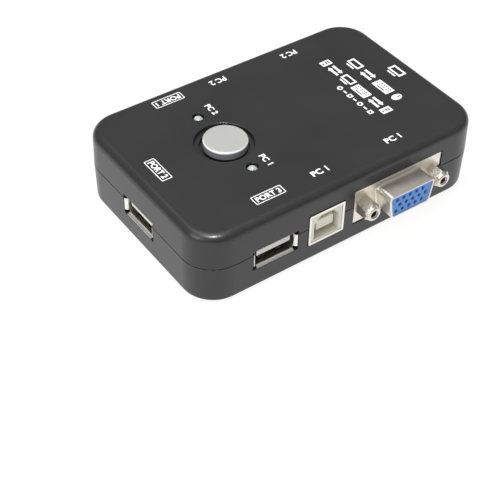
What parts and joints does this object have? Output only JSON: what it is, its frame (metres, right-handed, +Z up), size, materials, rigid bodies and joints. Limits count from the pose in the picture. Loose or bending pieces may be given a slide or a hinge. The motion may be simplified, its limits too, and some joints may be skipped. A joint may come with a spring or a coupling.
{
  "type": "kvm switch",
  "caption": "Desktop switch box that shares one VGA monitor and USB devices between two computers, with a round select button on a rounded dark plastic case.",
  "frame": {"origin": "on the desk, under the middle of the whole box with its sockets", "axes": "+X along the long walls towards the monitor socket, +Y towards the back wall, +Z up"},
  "size_m": [0.1012, 0.0732, 0.0248],
  "materials": {
    "case_plastic": "fine satin texture",
    "foot_rubber": "matt",
    "screw_steel": "zinc plated",
    "board_laminate": "green solder mask",
    "button_silver": "satin silver",
    "switch_plastic": "moulded",
    "spring_steel": "plain",
    "lead_tin": "tinned",
    "lamp_clear": "clear",
    "contact_brass": "gold flash",
    "socket_plate": "nickel plated",
    "jack_nickel": "nickel plated",
    "vga_blue": "moulded",
    "usb_b_ivory": "moulded",
    "usb_a_white": "moulded",
    "chip_black": "moulded epoxy",
    "can_aluminium": "satin",
    "capacitor_tan": "ceramic",
    "resistor_black": "glazed"
  },
  "bodies": {
    "case": {"board_screws": "screw_steel", "bottom_cover": "case_plastic", "capacitor_cans": "can_aluminium", "case_screws": "screw_steel", "chip_capacitors": "capacitor_tan", "chip_leads": "lead_tin", "chip_resistors": "resistor_black", "circuit_board": "board_laminate", "controller_chip": "chip_black", "crystal": "can_aluminium", "foot_back_left": "foot_rubber", "foot_back_right": "foot_rubber", "foot_front_left": "foot_rubber", "foot_front_right": "foot_rubber", "lamp_leads": "lead_tin", "lamp_pc_1": "lamp_clear", "lamp_pc_2": "lamp_clear", "lamp_spacers": "switch_plastic", "memory_chip": "chip_black", "switch_base": "switch_plastic", "switch_cover": "spring_steel", "switch_dome": "spring_steel", "switch_terminals": "lead_tin", "top_cover": "case_plastic", "usb_1_contacts": "contact_brass", "usb_1_housing": "usb_a_white", "usb_1_shell": "socket_plate", "usb_2_contacts": "contact_brass", "usb_2_housing": "usb_a_white", "usb_2_shell": "socket_plate", "usb_3_contacts": "contact_brass", "usb_3_housing": "usb_a_white", "usb_3_shell": "socket_plate", "usb_b_pc_1_contacts": "contact_brass", "usb_b_pc_1_insert": "usb_b_ivory", "usb_b_pc_1_shell": "socket_plate", "usb_b_pc_2_contacts": "contact_brass", "usb_b_pc_2_insert": "usb_b_ivory", "usb_b_pc_2_shell": "socket_plate", "vga_monitor_bracket": "socket_plate", "vga_monitor_contacts": "contact_brass", "vga_monitor_insert": "vga_blue", "vga_monitor_jack_screws": "jack_nickel", "vga_monitor_shell": "socket_plate", "vga_pc_1_bracket": "socket_plate", "vga_pc_1_contacts": "contact_brass", "vga_pc_1_insert": "vga_blue", "vga_pc_1_jack_screws": "jack_nickel", "vga_pc_1_shell": "socket_plate", "vga_pc_2_bracket": "socket_plate", "vga_pc_2_contacts": "contact_brass", "vga_pc_2_insert": "vga_blue", "vga_pc_2_jack_screws": "jack_nickel", "vga_pc_2_shell": "socket_plate", "video_switch_chips": "chip_black"},
    "button": {"select_button": "button_silver"},
    "plunger": {"switch_plunger": "switch_plastic"}
  },
  "joints": [
    {"name": "button_press", "type": "slide", "parent": "case", "child": "button", "axis": [0, 0, -1], "range_m": [0, 0.0005], "stiffness_N_per_m": 1600, "springref_m": -0.0006},
    {"name": "plunger_press", "type": "slide", "parent": "case", "child": "plunger", "axis": [0, 0, -1], "range_m": [0, 0.0005], "deforming": ["switch_dome"]}
  ],
  "couplings": [
    {"joint": "plunger_press", "follows": "button_press", "ratio": 1}
  ]
}
